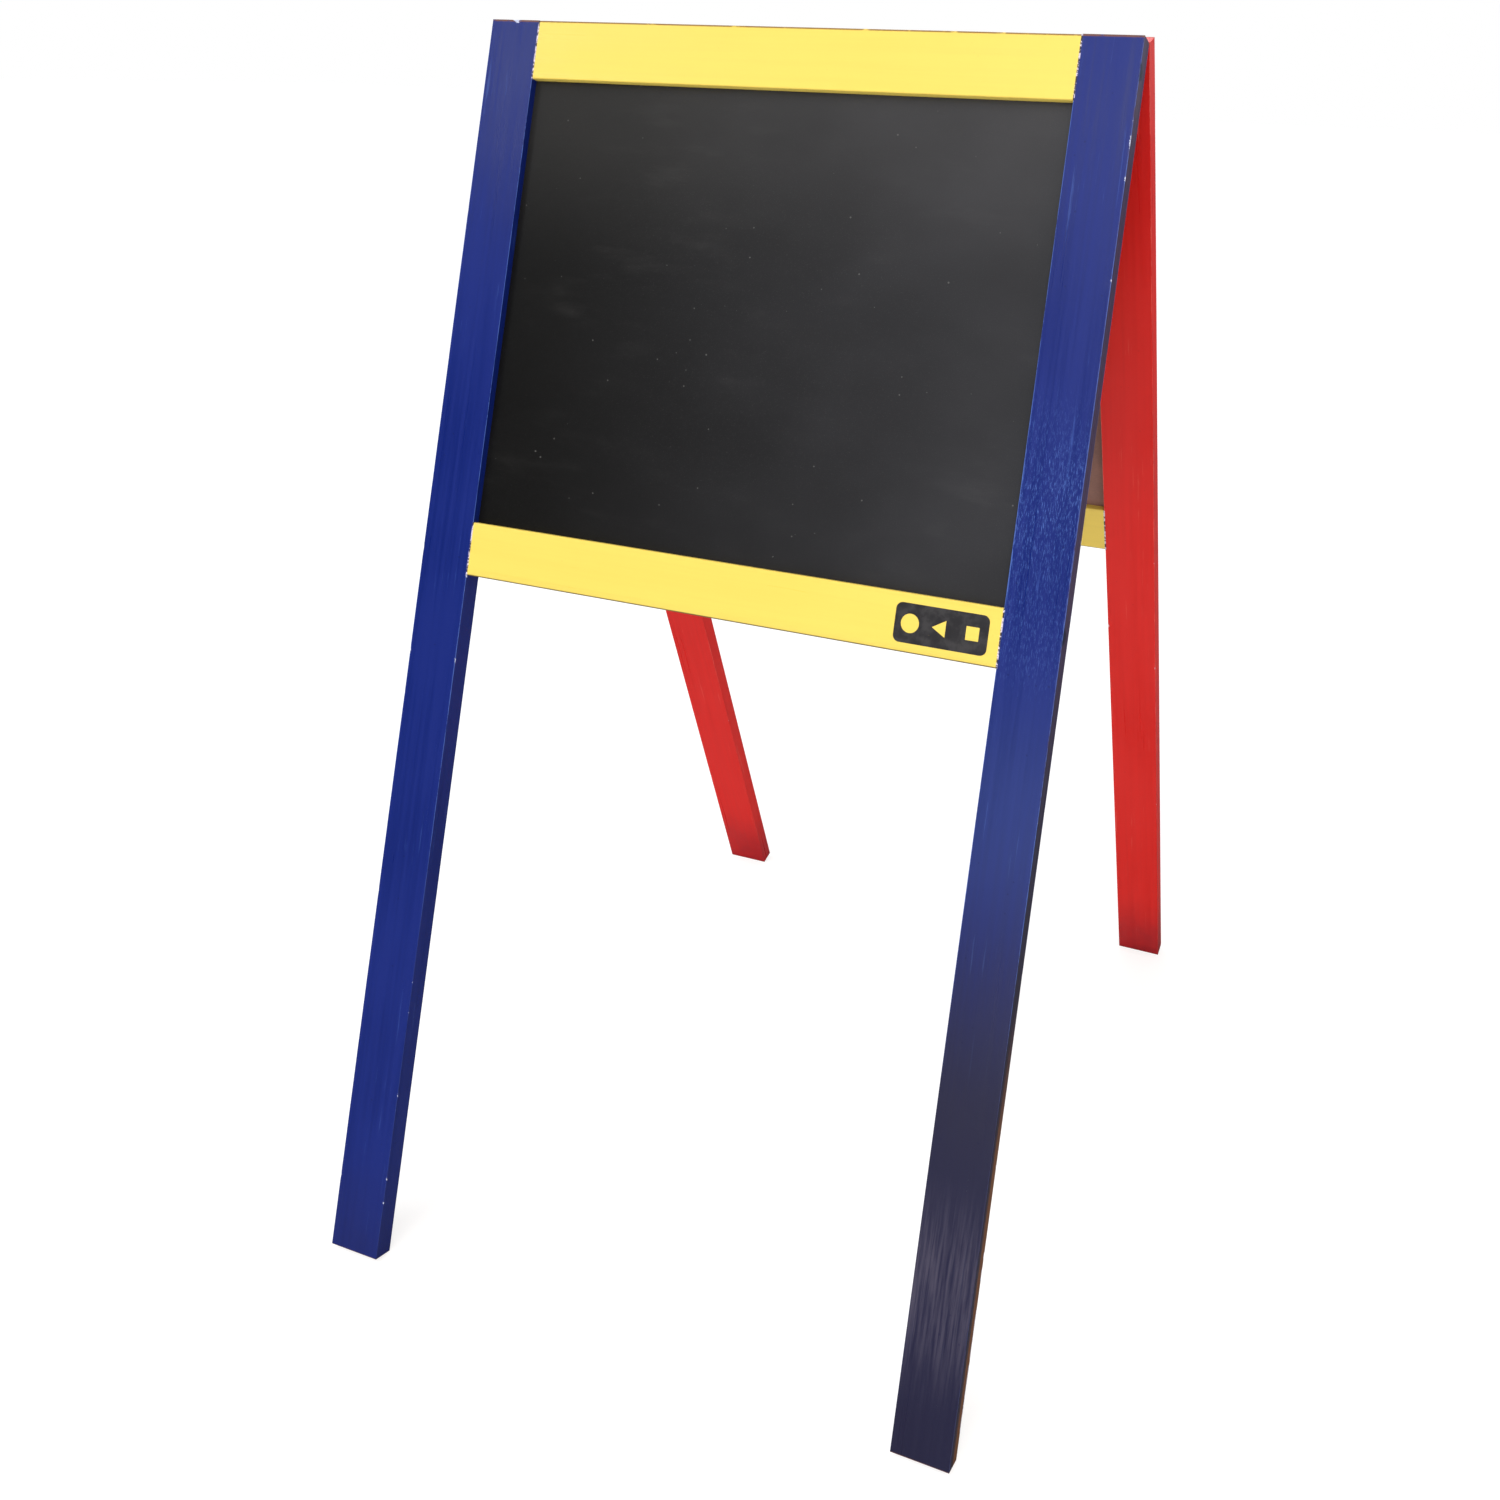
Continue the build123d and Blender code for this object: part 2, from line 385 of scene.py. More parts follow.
class Graph:
    """Adds nodes to one shader tree and joins them."""

    def __init__(self, tree):
        self.tree = tree

    def feed(self, socket, value):
        if isinstance(value, bpy.types.NodeSocket):
            self.tree.links.new(value, socket)
        else:
            socket.default_value = value

    def add(self, kind, inputs=None, **choices):
        made = self.tree.nodes.new(kind)
        for name, value in choices.items():
            setattr(made, name, value)
        for name, value in (inputs or {}).items():
            self.feed(made.inputs[name], value)
        return made

    def sum(self, operation, first, second=0.0, clamp=False):
        made = self.add("ShaderNodeMath", operation=operation, use_clamp=clamp)
        self.feed(made.inputs[0], first)
        self.feed(made.inputs[1], second)
        return made.outputs[0]

    def times(self, *values):
        product = values[0]
        for value in values[1:]:
            product = self.sum("MULTIPLY", product, value)
        return product

    def most(self, *values):
        largest = values[0]
        for value in values[1:]:
            largest = self.sum("MAXIMUM", largest, value)
        return largest

    def arrows(self, operation, first, second=(0.0, 0.0, 0.0)):
        made = self.add("ShaderNodeVectorMath", operation=operation)
        self.feed(made.inputs[0], first)
        self.feed(made.inputs[1], second)
        return made.outputs[0]

    def split(self, vector):
        return self.add("ShaderNodeSeparateXYZ", {"Vector": vector}).outputs

    def band(self, value, low, high, to_low=0.0, to_high=1.0):
        inputs = {"Value": value, "From Min": low, "From Max": high, "To Min": to_low, "To Max": to_high}
        return self.add("ShaderNodeMapRange", inputs, interpolation_type="SMOOTHSTEP").outputs[0]

    def window(self, value, low, high, soft):
        rise = self.band(value, low - soft, low + soft)
        fall = self.band(value, high - soft, high + soft, 1.0, 0.0)
        return self.times(rise, fall)

    def tint(self, factor, first, second, mode="MIX"):
        made = self.add("ShaderNodeMix", data_type="RGBA", blend_type=mode)
        self.feed(made.inputs[0], factor)
        self.feed(made.inputs[6], first)
        self.feed(made.inputs[7], second)
        return made.outputs[2]

    def cloud(self, position, scale, detail=2.0, roughness=0.5, stretch=None):
        where = self.arrows("MULTIPLY", position, stretch) if stretch else position
        inputs = {"Vector": where, "Scale": scale, "Detail": detail, "Roughness": roughness}
        return self.add("ShaderNodeTexNoise", inputs).outputs[0]

    def group(self, tree, inputs):
        made = self.add("ShaderNodeGroup", node_tree=tree)
        for name, value in inputs.items():
            self.feed(made.inputs[name], value)
        return made.outputs


def effect(name, inputs, outputs, build):
    """A shader node group with named sockets, made once and shared."""
    if name in bpy.data.node_groups:
        return bpy.data.node_groups[name]
    tree = bpy.data.node_groups.new(name, "ShaderNodeTree")
    for label, kind in inputs.items():
        tree.interface.new_socket(name=label, in_out="INPUT", socket_type="NodeSocket" + kind)
    for label, kind in outputs.items():
        tree.interface.new_socket(name=label, in_out="OUTPUT", socket_type="NodeSocket" + kind)
    graph = Graph(tree)
    given = graph.add("NodeGroupInput").outputs
    results = build(graph, given)
    end = graph.add("NodeGroupOutput")
    for label, value in results.items():
        graph.feed(end.inputs[label], value)
    return tree


def edge_wear():
    """How near a bar's edges a point is, and where rubbing has thinned the paint there."""

    def build(graph, given):
        parts = graph.split(given["Position"])
        width_wise = graph.sum("ABSOLUTE", parts[X])
        folded = graph.add("ShaderNodeCombineXYZ", {"X": width_wise, "Y": parts[Y], "Z": parts[Z]}).outputs[0]
        offset = graph.arrows("ABSOLUTE", graph.arrows("SUBTRACT", folded, given["Centre"]))
        inset = graph.split(graph.arrows("SUBTRACT", given["Half Size"], offset))
        nearer = graph.sum("MINIMUM", inset[X], inset[Y])
        farther = graph.sum("MAXIMUM", inset[X], inset[Y])
        middle = graph.sum("MAXIMUM", nearer, graph.sum("MINIMUM", farther, inset[Z]))
        edge = graph.band(middle, 0.0, given["Width"], 1.0, 0.0)
        coarse = graph.cloud(given["Position"], 28.0, 4.0, 0.6)
        fine = graph.cloud(given["Position"], 420.0, 3.0, 0.6)
        broken = graph.sum("ADD", graph.times(coarse, 0.65), graph.times(fine, 0.35))
        worn = graph.band(graph.sum("ADD", graph.times(edge, given["Amount"]), broken), 0.86, 0.98)
        return {"Edge": edge, "Worn": graph.times(worn, edge)}

    inputs = {"Position": "Vector", "Centre": "Vector", "Half Size": "Vector", "Width": "Float", "Amount": "Float"}
    return effect("edge_wear", inputs, {"Edge": "Float", "Worn": "Float"}, build)


def brushed_paint():
    """Brush streaks, cloudy shading and the fine skin of paint on timber."""

    def build(graph, given):
        lengthwise = graph.arrows("MULTIPLY", given["Position"], given["Across"])
        streaks = graph.cloud(lengthwise, 1.0, 4.0, 0.62)
        grain = graph.cloud(lengthwise, 3.4, 3.0, 0.6)
        clouds = graph.cloud(given["Position"], 7.0, 2.0)
        skin = graph.cloud(given["Position"], 520.0, 2.0, 0.5)
        shade = graph.sum("ADD", graph.times(streaks, 0.6), graph.times(clouds, 0.4))
        height = graph.sum("ADD", graph.times(grain, 0.55), graph.times(skin, 0.3))
        height = graph.sum("ADD", height, graph.times(streaks, 0.5))
        rough = graph.band(shade, 0.35, 0.65, 0.0, 1.0)
        return {"Shade": shade, "Height": height, "Dullness": rough}

    outputs = {"Shade": "Float", "Height": "Float", "Dullness": "Float"}
    return effect("brushed_paint", {"Position": "Vector", "Across": "Vector"}, outputs, build)


def scuffs():
    """Thin broken scratches that run one way."""

    def build(graph, given):
        stretched = graph.arrows("MULTIPLY", given["Position"], given["Across"])
        lines = graph.cloud(stretched, 1.0, 5.0, 0.7)
        patches = graph.cloud(given["Position"], 16.0, 3.0, 0.6)
        broken = graph.sum("ADD", lines, graph.times(patches, 0.45))
        return {"Scuffed": graph.band(broken, given["Threshold"], graph.sum("ADD", given["Threshold"], 0.07))}

    inputs = {"Position": "Vector", "Across": "Vector", "Threshold": "Float"}
    return effect("scuffs", inputs, {"Scuffed": "Float"}, build)


def specks():
    """Small scattered spots, each of its own size."""

    def build(graph, given):
        cells = graph.add("ShaderNodeTexVoronoi", {"Vector": given["Position"], "Scale": given["Scale"]})
        chance = graph.split(cells.outputs["Color"])[X]
        size = graph.band(chance, graph.sum("SUBTRACT", 1.0, given["Share"]), 1.0, 0.0, 0.3)
        room = graph.sum("SUBTRACT", size, cells.outputs["Distance"])
        return {"Speck": graph.band(room, 0.0, 0.04)}

    inputs = {"Position": "Vector", "Scale": "Float", "Share": "Float"}
    return effect("specks", inputs, {"Speck": "Float"}, build)


def pressed_fibre():
    """The mottled colour and fuzz of hardboard."""

    def build(graph, given):
        blotches = graph.cloud(given["Position"], 26.0, 5.0, 0.62)
        fibres = graph.cloud(given["Position"], 330.0, 4.0, 0.65, (1.0, 1.0, 2.4))
        mottle = graph.sum("ADD", graph.times(blotches, 0.6), graph.times(fibres, 0.4))
        return {"Mottle": graph.band(mottle, 0.34, 0.66), "Height": fibres}

    outputs = {"Mottle": "Float", "Height": "Float"}
    return effect("pressed_fibre", {"Position": "Vector"}, outputs, build)


def timber_grain():
    """Growth rings and pores of bare timber, along a chosen direction."""

    def build(graph, given):
        stretched = graph.arrows("MULTIPLY", given["Position"], given["Across"])
        rings = graph.cloud(stretched, 0.5, 3.0, 0.55)
        bands = graph.sum("FRACT", graph.times(rings, 9.0))
        pores = graph.cloud(stretched, 4.5, 4.0, 0.6)
        return {"Grain": graph.sum("ADD", graph.times(bands, 0.5), graph.times(pores, 0.5)), "Height": pores}

    inputs = {"Position": "Vector", "Across": "Vector"}
    return effect("timber_grain", inputs, {"Grain": "Float", "Height": "Float"}, build)


def new_material(name):
    """An empty material with its graph and its Principled shader."""
    material = bpy.data.materials.new(name)
    material.use_nodes = True
    tree = material.node_tree
    tree.nodes.clear()
    graph = Graph(tree)
    shader = graph.add("ShaderNodeBsdfPrincipled")
    end = graph.add("ShaderNodeOutputMaterial")
    tree.links.new(shader.outputs[0], end.inputs["Surface"])
    return material, graph, shader


def upright_place(graph, body):
    """A point's place in its frame's upright position."""
    world = graph.add("ShaderNodeTexCoord").outputs["Object"]
    mapping = graph.add("ShaderNodeMapping", {"Vector": world}, vector_type="TEXTURE")
    mapping.inputs["Location"].default_value = PIN
    mapping.inputs["Rotation"].default_value = STAND[body].to_euler()
    return mapping.outputs[0]


def relief(graph, shader, height, distance, strength=1.0):
    """Bump from a height."""
    bump = graph.add("ShaderNodeBump", {"Height": height, "Distance": distance, "Strength": strength})
    graph.feed(shader.inputs["Normal"], bump.outputs[0])


LEG_GRAIN = (260.0, 260.0, 5.0)
RAIL_GRAIN = (5.0, 260.0, 260.0)


def joint_line(graph, parts):
    """The hairline where a rail's end meets a leg, at both rails' heights."""
    across = graph.sum("ABSOLUTE", graph.sum("SUBTRACT", graph.sum("ABSOLUTE", parts[X]), JOINT_X))
    line = graph.band(across, 0.35 * MM, 0.85 * MM, 1.0, 0.0)
    top = graph.window(parts[Z], TOP_RAIL_LOW.z, TOP_RAIL_HIGH.z, 0.4 * MM)
    low = graph.window(parts[Z], LOW_RAIL_LOW.z, LOW_RAIL_HIGH.z, 0.4 * MM)
    return graph.times(line, graph.most(top, low))


def painted_timber(name, body, box, grain, paint, worn, wear, streak, skin, extras=None, underline=False):
    """Semi-gloss paint on a bar: streaks, rubbed edges, knocks to primer and wood, specks, joints."""
    colours = bpy.context.scene.easel_paint
    material, graph, shader = new_material(name)
    place = upright_place(graph, body)
    parts = graph.split(place)
    low, high = box
    centre = (low + high) / 2
    half = (high - low) / 2
    if low.x < 0:
        centre.x = 0.0
        half.x *= 2
    brushed = graph.group(brushed_paint(), {"Position": place, "Across": grain})
    edges = graph.group(
        edge_wear(),
        {"Position": place, "Centre": centre, "Half Size": half, "Width": 1.1 * MM, "Amount": wear},
    )
    dark = [channel * (1 - streak) for channel in paint]
    light = [min(1.0, channel * (1 + 0.7 * streak)) for channel in paint]
    colour = graph.tint(graph.band(brushed["Shade"], 0.36, 0.62), rgba(dark), rgba(light))
    if extras:
        colour = extras(graph, place, parts, edges, colour, colours)
    kept = graph.band(parts[Z], LEG_LOW.z + 0.25, LEG_LOW.z + 0.4, 0.15, 1.0)
    colour = graph.tint(graph.times(edges["Worn"], kept), colour, rgba(worn))
    rubbed_top = graph.band(parts[Z], LEG_HIGH.z - 1.9 * MM, LEG_HIGH.z - 1.1 * MM)
    from_middle = graph.sum("ABSOLUTE", graph.sum("SUBTRACT", parts[Y], centre.y))
    at_arris = graph.band(from_middle, half.y - 2.2 * MM, half.y - 1.0 * MM)
    patchy = graph.band(graph.cloud(place, 60.0, 4.0, 0.6), 0.32, 0.46)
    rubbed_top = graph.times(rubbed_top, at_arris, patchy)
    colour = graph.tint(graph.times(rubbed_top, 0.85), colour, rgba(colours.bare_wood))
    if underline:
        line = graph.band(parts[Z], low.z + 0.6 * MM, low.z + 1.4 * MM, 1.0, 0.0)
        colour = graph.tint(graph.times(line, 0.85), colour, (0.05, 0.03, 0.02, 1.0))
    pepper = graph.group(specks(), {"Position": place, "Scale": 330.0, "Share": 0.03})["Speck"]
    colour = graph.tint(graph.times(pepper, min(0.4, 3 * streak)), colour, rgba([channel * 0.25 for channel in paint]))
    bare = graph.add("ShaderNodeAttribute", attribute_name="bare").outputs["Fac"]
    ragged = graph.sum("ADD", bare, graph.times(graph.sum("SUBTRACT", graph.cloud(place, 900.0, 4.0, 0.65), 0.5), 0.9))
    primed = graph.band(ragged, 0.42, 0.5)
    wooden = graph.band(ragged, 0.86, 0.96)
    colour = graph.tint(primed, colour, graph.tint(0.35, rgba(colours.primer), rgba(worn)))
    colour = graph.tint(wooden, colour, rgba(colours.bare_wood))
    seam = joint_line(graph, parts)
    flecks = graph.band(graph.cloud(place, 480.0, 3.0, 0.6), 0.47, 0.55)
    seam_colour = graph.tint(flecks, (0.035, 0.03, 0.045, 1.0), (0.62, 0.57, 0.7, 1.0))
    colour = graph.tint(seam, colour, seam_colour)
    graph.feed(shader.inputs["Base Color"], colour)
    dull = graph.sum("ADD", graph.times(brushed["Dullness"], 0.14), 0.27)
    dull = graph.sum("ADD", dull, graph.times(graph.most(primed, edges["Worn"]), 0.25), clamp=True)
    graph.feed(shader.inputs["Roughness"], dull)
    shader.inputs["Specular IOR Level"].default_value = 0.36
    height = graph.sum("SUBTRACT", brushed["Height"], graph.times(primed, 0.9))
    height = graph.sum("SUBTRACT", height, graph.times(seam, 1.2))
    relief(graph, shader, height, skin)
    return material


# Dark colour for the lower legs: dirt at the feet, and painted shade.
GRIME_AND_SHADE = (0.014, 0.0125, 0.03, 1.0)
# Rubbed blue paint, also used as a painted highlight along edges.
RUBBED_BLUE_AND_HIGHLIGHT = (0.12, 0.24, 0.66, 1.0)
# Outer side tints: thin paint with a painted reflection, and painted shade lower down.
SIDE_PAINT_AND_REFLECTION = (0.06, 0.033, 0.075, 1.0)
SIDE_SHADE_LOW = (0.02, 0.016, 0.04, 1.0)
# Colour of a painted sheen.
SHEEN_BLUE_GREY = (0.2, 0.29, 0.32, 1.0)
CHALKY = (0.085, 0.075, 0.115, 1.0)
# Colour of painted shade in screw-hole dimples.
HOLE_SHADE_NAVY = (0.004, 0.006, 0.04, 1.0)


def right_leg_wear_and_painted_light(graph, place, parts, edges, colour, colours):
    """Heavier wear on the right front leg: fine scuffs, a chalky patch and a strip of bare timber. It also carries
    painted light: a faint sheen, rubbed front edges that also give a painted highlight, shade down its lower half, a
    side tinted by painted reflection and shade, and two dark spots of painted shade.
    """
    right = graph.band(parts[X], 0.0, 10 * MM)
    scuffed_span = graph.window(parts[Z], LEG_HIGH.z - 0.44, LEG_HIGH.z - 0.28, 0.045)
    flecks = graph.band(graph.cloud(place, 1.0, 4.0, 0.72, (2000.0, 2000.0, 200.0)), 0.53, 0.66)
    denser = graph.band(graph.cloud(place, 14.0, 2.0), 0.3, 0.7, 0.45, 1.0)
    colour = graph.tint(graph.times(flecks, denser, scuffed_span, right, 0.62), colour, RUBBED_BLUE_AND_HIGHLIGHT)
    # Painted sheen: a faint pale blue-grey band across the middle of the right leg.
    painted_sheen_span = graph.window(parts[Z], LEG_HIGH.z - 0.62, LEG_HIGH.z - 0.48, 0.06)
    colour = graph.tint(graph.times(painted_sheen_span, right, 0.05), colour, SHEEN_BLUE_GREY)
    # Rubbed paint along the front edges, which also stands in for a painted highlight on the rounded edge.
    broken = graph.band(graph.cloud(place, 170.0, 3.0, 0.6), 0.44, 0.56)
    rim = graph.times(edges["Edge"], broken, scuffed_span, right, 0.8)
    colour = graph.tint(rim, colour, RUBBED_BLUE_AND_HIGHLIGHT)
    # Painted shade: the right leg is darkened down its lower half towards the foot.
    lower = graph.band(parts[Z], LEG_LOW.z + 0.24, LEG_LOW.z + 0.47, 1.0, 0.0)
    colour = graph.tint(graph.times(lower, right, 0.9), colour, GRIME_AND_SHADE)
    patch = graph.window(parts[Z], LEG_LOW.z + 0.07, LEG_LOW.z + 0.17, 0.04)
    silky = graph.cloud(place, 1.0, 4.0, 0.65, (520.0, 520.0, 22.0))
    chalky = graph.times(patch, right, graph.band(silky, 0.32, 0.72), 0.62)
    colour = graph.tint(chalky, colour, CHALKY)
    # The outer side is tinted purple-brown: thin paint with a painted reflection, and darker towards the foot as
    # painted shade.
    outer_side = graph.band(parts[X], LEG_HIGH.x - 0.7 * MM, LEG_HIGH.x - 0.3 * MM)
    side_reflection_and_shade = graph.tint(graph.band(parts[Z], -0.6, -0.35), SIDE_SHADE_LOW, SIDE_PAINT_AND_REFLECTION)
    colour = graph.tint(graph.times(outer_side, 0.85), colour, side_reflection_and_shade)
    uneven = graph.sum("ADD", parts[Y], graph.times(silky, 6 * MM))
    strip = graph.band(uneven, -9.5 * MM, -7.5 * MM)
    strip_span = graph.band(parts[Z], LEG_LOW.z + 0.2, LEG_LOW.z + 0.34, 1.0, 0.0)
    colour = graph.tint(graph.times(outer_side, strip, strip_span), colour, rgba(colours.bare_wood))
    # Painted shade: two dark blue spots on the outer side stand for the shade in two screw-hole dimples.
    rough_rim = graph.times(graph.sum("SUBTRACT", graph.cloud(place, 420.0, 3.0, 0.6), 0.5), 2.2)
    inwards = graph.times(graph.sum("SUBTRACT", parts[Y], LEG_LOW.y), 1 / (8 * MM))
    for drop, length in ((25 * MM, 14 * MM), (421 * MM, 12 * MM)):
        along = graph.times(graph.sum("SUBTRACT", parts[Z], LEG_HIGH.z - drop), 2 / length)
        reach = graph.sum("ADD", graph.times(along, along), graph.times(inwards, inwards))
        chip = graph.band(graph.sum("ADD", reach, rough_rim), 0.85, 1.05, 1.0, 0.0)
        colour = graph.tint(graph.times(chip, outer_side), colour, HOLE_SHADE_NAVY)
    return colour


def leg_wear_and_shade(graph, place, parts, edges, colour, colours, worn, heavy_wear_and_shade):
    """Streaks rubbed along a leg, and its foot rubbed down to wood and darkened with dirt and painted shade."""
    rubbed = graph.group(
        scuffs(), {"Position": place, "Across": (330.0, 330.0, 7.0), "Threshold": 0.86}
    )["Scuffed"]
    colour = graph.tint(graph.times(rubbed, 0.3), colour, rgba(worn))
    # The foot is darkened with mottled dirt and painted shade, more on the red legs.
    foot = graph.band(parts[Z], LEG_LOW.z, LEG_LOW.z + 0.1, 1.0, 0.0)
    foot_dirt_and_shade = graph.times(foot, graph.cloud(place, 22.0, 4.0, 0.6), 0.5 if heavy_wear_and_shade else 0.8)
    colour = graph.tint(foot_dirt_and_shade, colour, GRIME_AND_SHADE)
    if heavy_wear_and_shade:
        colour = right_leg_wear_and_painted_light(graph, place, parts, edges, colour, colours)
    end_grain = graph.band(parts[Z], LEG_LOW.z + 0.15 * MM, LEG_LOW.z + 0.6 * MM, 1.0, 0.0)
    return graph.tint(end_grain, colour, rgba(colours.bare_wood))


def board_material(name, body, face):
    """Chalkboard, wipe-clean white, or bare hardboard."""
    colours = bpy.context.scene.easel_board
    material, graph, shader = new_material(name)
    place = upright_place(graph, body)
    parts = graph.split(place)
    if face == "hardboard":
        fibre = graph.group(pressed_fibre(), {"Position": place})
        dark = rgba([channel * 0.84 for channel in colours.hardboard])
        light = rgba([channel * 1.18 for channel in colours.hardboard])
        graph.feed(shader.inputs["Base Color"], graph.tint(fibre["Mottle"], dark, light))
        graph.feed(shader.inputs["Roughness"], graph.band(fibre["Mottle"], 0.0, 1.0, 0.72, 0.9))
        relief(graph, shader, fibre["Height"], 0.15 * MM)
        return material
    haze = graph.cloud(place, 5.0, 4.0, 0.55, (1.0, 1.0, 1.6))
    wiped = graph.cloud(place, 1.0, 5.0, 0.6, (14.0, 14.0, 60.0))
    grain = graph.cloud(place, 900.0, 2.0, 0.5)
    scratch = graph.group(
        scuffs(), {"Position": place, "Across": (9.0, 9.0, 420.0), "Threshold": 0.98}
    )["Scuffed"]
    dust = graph.group(specks(), {"Position": place, "Scale": 380.0, "Share": 0.012})["Speck"]
    if face == "chalkboard":
        corner = graph.times(graph.band(parts[X], 0.05, 0.24), graph.band(parts[Z], -0.17, -0.05))
        smear = graph.times(graph.band(wiped, 0.5, 0.75), graph.band(haze, 0.4, 0.7), 0.025)
        pinpricks = graph.band(graph.cloud(place, 1500.0, 3.0, 0.7), 0.58, 0.76)
        powder = graph.sum("ADD", smear, graph.times(dust, 0.2))
        powder = graph.sum("ADD", powder, graph.times(pinpricks, 0.1))
        powder = graph.sum("ADD", powder, graph.times(scratch, graph.sum("ADD", corner, 0.15), 0.2))
        colour = graph.tint(powder, rgba(colours.chalkboard), rgba(colours.chalk))
        # Painted reflection: the board is lightened towards its top, and in bluish grey towards its right side.
        uneven = graph.band(haze, 0.2, 0.8, 0.75, 1.25)
        top_sheen = graph.band(parts[Z], BOARD_HIGH.z - 170 * MM, BOARD_HIGH.z - 10 * MM, 0.0, 0.045)
        right_sheen = graph.band(parts[X], BOARD_LOW.x, BOARD_HIGH.x, 0.0, 0.07)
        colour = graph.tint(graph.times(top_sheen, uneven), colour, rgba(colours.chalk))
        colour = graph.tint(graph.times(right_sheen, uneven), colour, (0.31, 0.315, 0.37, 1.0))
        graph.feed(shader.inputs["Base Color"], colour)
        graph.feed(shader.inputs["Roughness"], graph.band(haze, 0.3, 0.7, 0.42, 0.52))
        shader.inputs["Specular IOR Level"].default_value = 0.22
        relief(graph, shader, graph.sum("ADD", graph.times(grain, 0.8), scratch), 0.04 * MM)
        return material
    ghost = graph.times(graph.band(wiped, 0.52, 0.74), graph.band(haze, 0.42, 0.72), 0.16)
    colour = graph.tint(ghost, rgba(colours.whiteboard), (0.42, 0.45, 0.52, 1.0))
    colour = graph.tint(graph.times(dust, 0.35), colour, (0.25, 0.24, 0.23, 1.0))
    graph.feed(shader.inputs["Base Color"], colour)
    graph.feed(shader.inputs["Roughness"], graph.band(haze, 0.3, 0.7, 0.12, 0.24))
    relief(graph, shader, graph.sum("ADD", graph.times(grain, 0.3), graph.times(scratch, 0.7)), 0.015 * MM)
    return material


def metal_material(name, body, colour, brush):
    """Plated steel with a rubbed, slightly stained surface."""
    material, graph, shader = new_material(name)
    place = upright_place(graph, body)
    stains = graph.cloud(place, 180.0, 4.0, 0.6)
    lines = graph.cloud(place, 1.0, 3.0, 0.6, brush)
    dark = rgba([channel * 0.78 for channel in colour])
    graph.feed(shader.inputs["Base Color"], graph.tint(graph.band(stains, 0.4, 0.62), dark, rgba(colour)))
    graph.feed(shader.inputs["Roughness"], graph.band(graph.sum("ADD", lines, stains), 0.8, 1.2, 0.24, 0.5))
    shader.inputs["Metallic"].default_value = 1.0
    relief(graph, shader, lines, 0.02 * MM)
    return material


def dowel_material(name, body):
    """Bare beech, with its grain along the dowel."""
    material, graph, shader = new_material(name)
    place = upright_place(graph, body)
    grain = graph.group(timber_grain(), {"Position": place, "Across": (12.0, 420.0, 420.0)})
    colour = graph.tint(grain["Grain"], (0.42, 0.25, 0.12, 1.0), (0.68, 0.47, 0.26, 1.0))
    graph.feed(shader.inputs["Base Color"], colour)
    graph.feed(shader.inputs["Roughness"], graph.band(grain["Grain"], 0.2, 0.8, 0.55, 0.75))
    relief(graph, shader, grain["Height"], 0.05 * MM)
    return material


def ink_material():
    """Printed film, slightly rubbed."""
    material, graph, shader = new_material("printed_ink")
    place = upright_place(graph, "front_frame")
    colours = bpy.context.scene.easel_marks
    rub = graph.group(scuffs(), {"Position": place, "Across": (60.0, 60.0, 500.0), "Threshold": 0.92})["Scuffed"]
    patches = graph.cloud(place, 140.0, 3.0, 0.6)
    colour = graph.tint(graph.band(patches, 0.4, 0.65), rgba(colours.ink), (0.035, 0.033, 0.036, 1.0))
    colour = graph.tint(graph.times(rub, 0.35), colour, (0.5, 0.42, 0.1, 1.0))
    graph.feed(shader.inputs["Base Color"], colour)
    graph.feed(shader.inputs["Roughness"], graph.band(patches, 0.3, 0.7, 0.34, 0.5))
    relief(graph, shader, patches, 0.02 * MM)
    return material


# ---- the pieces ----
def leg_mesh(low, high, seed):
    """A leg with a rounded inner top edge, eased edges and the groove that holds its board."""
    timber = bpy.context.scene.easel_timber
    inner_side = -1 if low.x > 0 else 1
    bm = box_mesh(low, high)
    groove_z = (BOARD_LOW.z, BOARD_HIGH.z)
    groove_y = (BOARD_LOW.y, BOARD_HIGH.y)
    margin = timber.top_radius + 4 * MM
    cut_loops(bm, Z, [low.z + 6 * MM, *groove_z, high.z - margin])
    border = timber.edge_radius * 2
    cut_loops(bm, Y, [low.y + border, *groove_y, high.y - border])
    cut_loops(bm, X, [low.x + border, *between(low.x, high.x, 5), high.x - border])
    top_edge = [
        edge for edge in sharp_edges(bm)
        if runs_along(edge, X) and all(v.co.z > high.z - MM and v.co.y > high.y - MM for v in edge.verts)
    ]
    ease(bm, top_edge, timber.top_radius, segments=10)
    ends = [edge for edge in sharp_edges(bm) if not runs_along(edge, Z)]
    ease(bm, ends, timber.end_radius, segments=2)
    ease(bm, [edge for edge in sharp_edges(bm) if runs_along(edge, Z)], timber.edge_radius)
    side_x = low.x if inner_side < 0 else high.x
    floor_faces = []
    for face in bm.faces:
        middle = face.calc_center_median()
        in_groove = groove_z[0] < middle.z < groove_z[1] and groove_y[0] < middle.y < groove_y[1]
        if in_groove and abs(middle.x - side_x) < 0.01 * MM:
            floor_faces.append(face)
    sunk = bmesh.ops.extrude_face_region(bm, geom=floor_faces)["geom"]
    depth = (BOARD_HIGH.x - JOINT_X) + MM
    moved = [each for each in sunk if isinstance(each, bmesh.types.BMVert)]
    bmesh.ops.translate(bm, vec=Vector((-inner_side * depth, 0, 0)), verts=moved)
    divide_length(bm, Z, timber.loop_spacing)
    wear_layer(bm)
    wave(bm, timber.waviness, 38 * MM, seed)
    return bm


